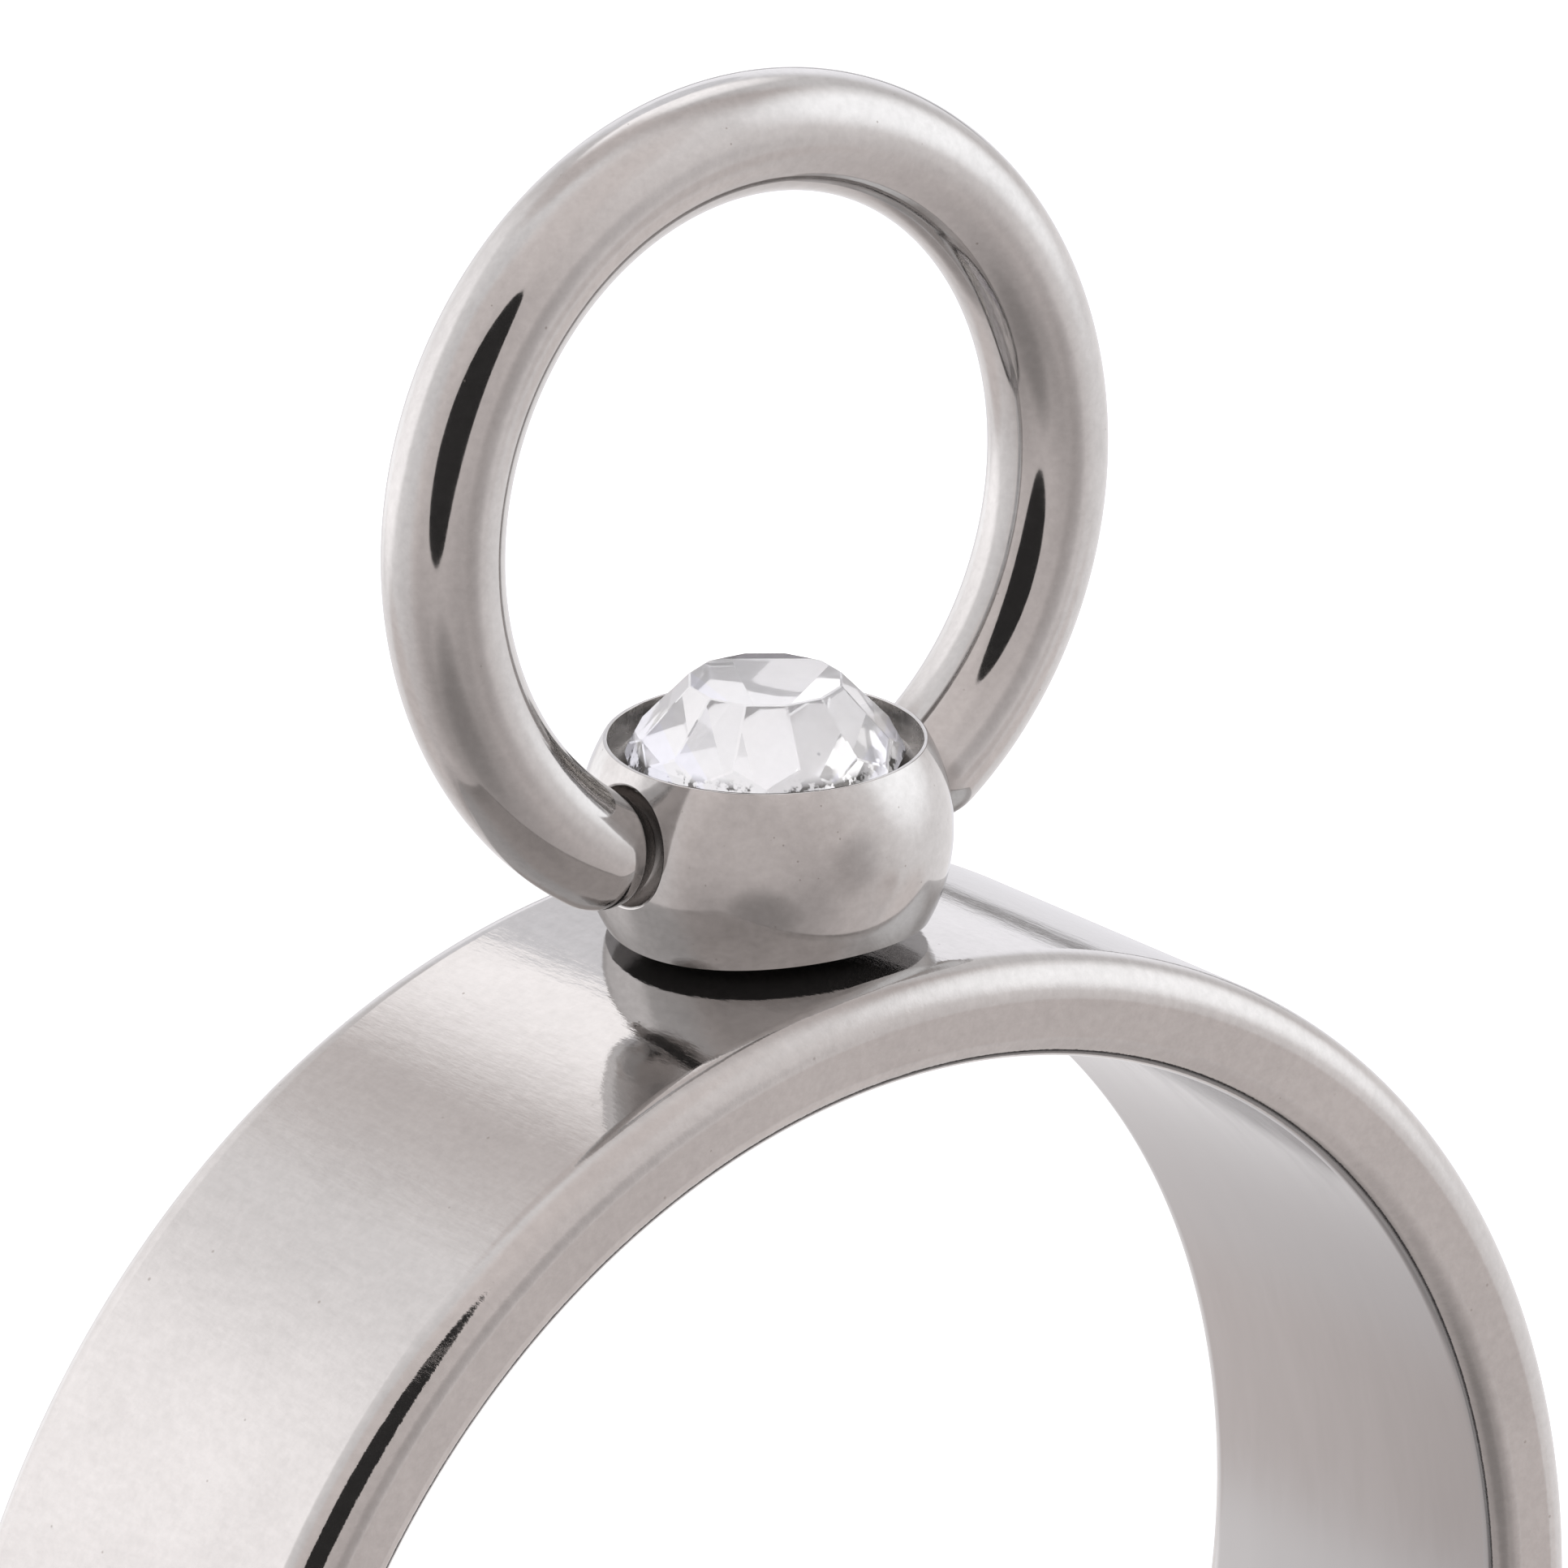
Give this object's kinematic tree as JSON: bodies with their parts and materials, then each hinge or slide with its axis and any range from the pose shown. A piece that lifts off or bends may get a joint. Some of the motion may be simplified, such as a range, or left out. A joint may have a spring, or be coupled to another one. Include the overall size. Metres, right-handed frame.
{
  "type": "crystal ring with a swivelling wire hoop",
  "caption": "Plain steel finger ring with a bead setting that holds a cut crystal and a wire hoop that swivels in the bead.",
  "frame": {"origin": "The centre of the finger hole, halfway across the band", "axes": "+Z along the finger, up where the ring lies on its side; +Y from the finger hole to the bead and hoop; +X to the right along the hoop's hinge line"},
  "size_m": [0.0236, 0.0351, 0.0062],
  "materials": {
    "satin_steel": "fine satin outside, polished at the edges",
    "polished_steel": "mirror polish",
    "crystal": "clear cut crystal with a mirrored back"
  },
  "bodies": {
    "ring": {"band": "satin_steel", "bead_setting": "polished_steel", "crystal": "crystal"},
    "hoop": {"hoop": "polished_steel"}
  },
  "joints": [
    {"name": "hoop_swivel", "type": "hinge", "parent": "ring", "child": "hoop", "pos_m": [0, 0.01342, 0], "axis": [0.9995, 0, 0.0314], "range_deg": [-114.6, 121.4]}
  ]
}
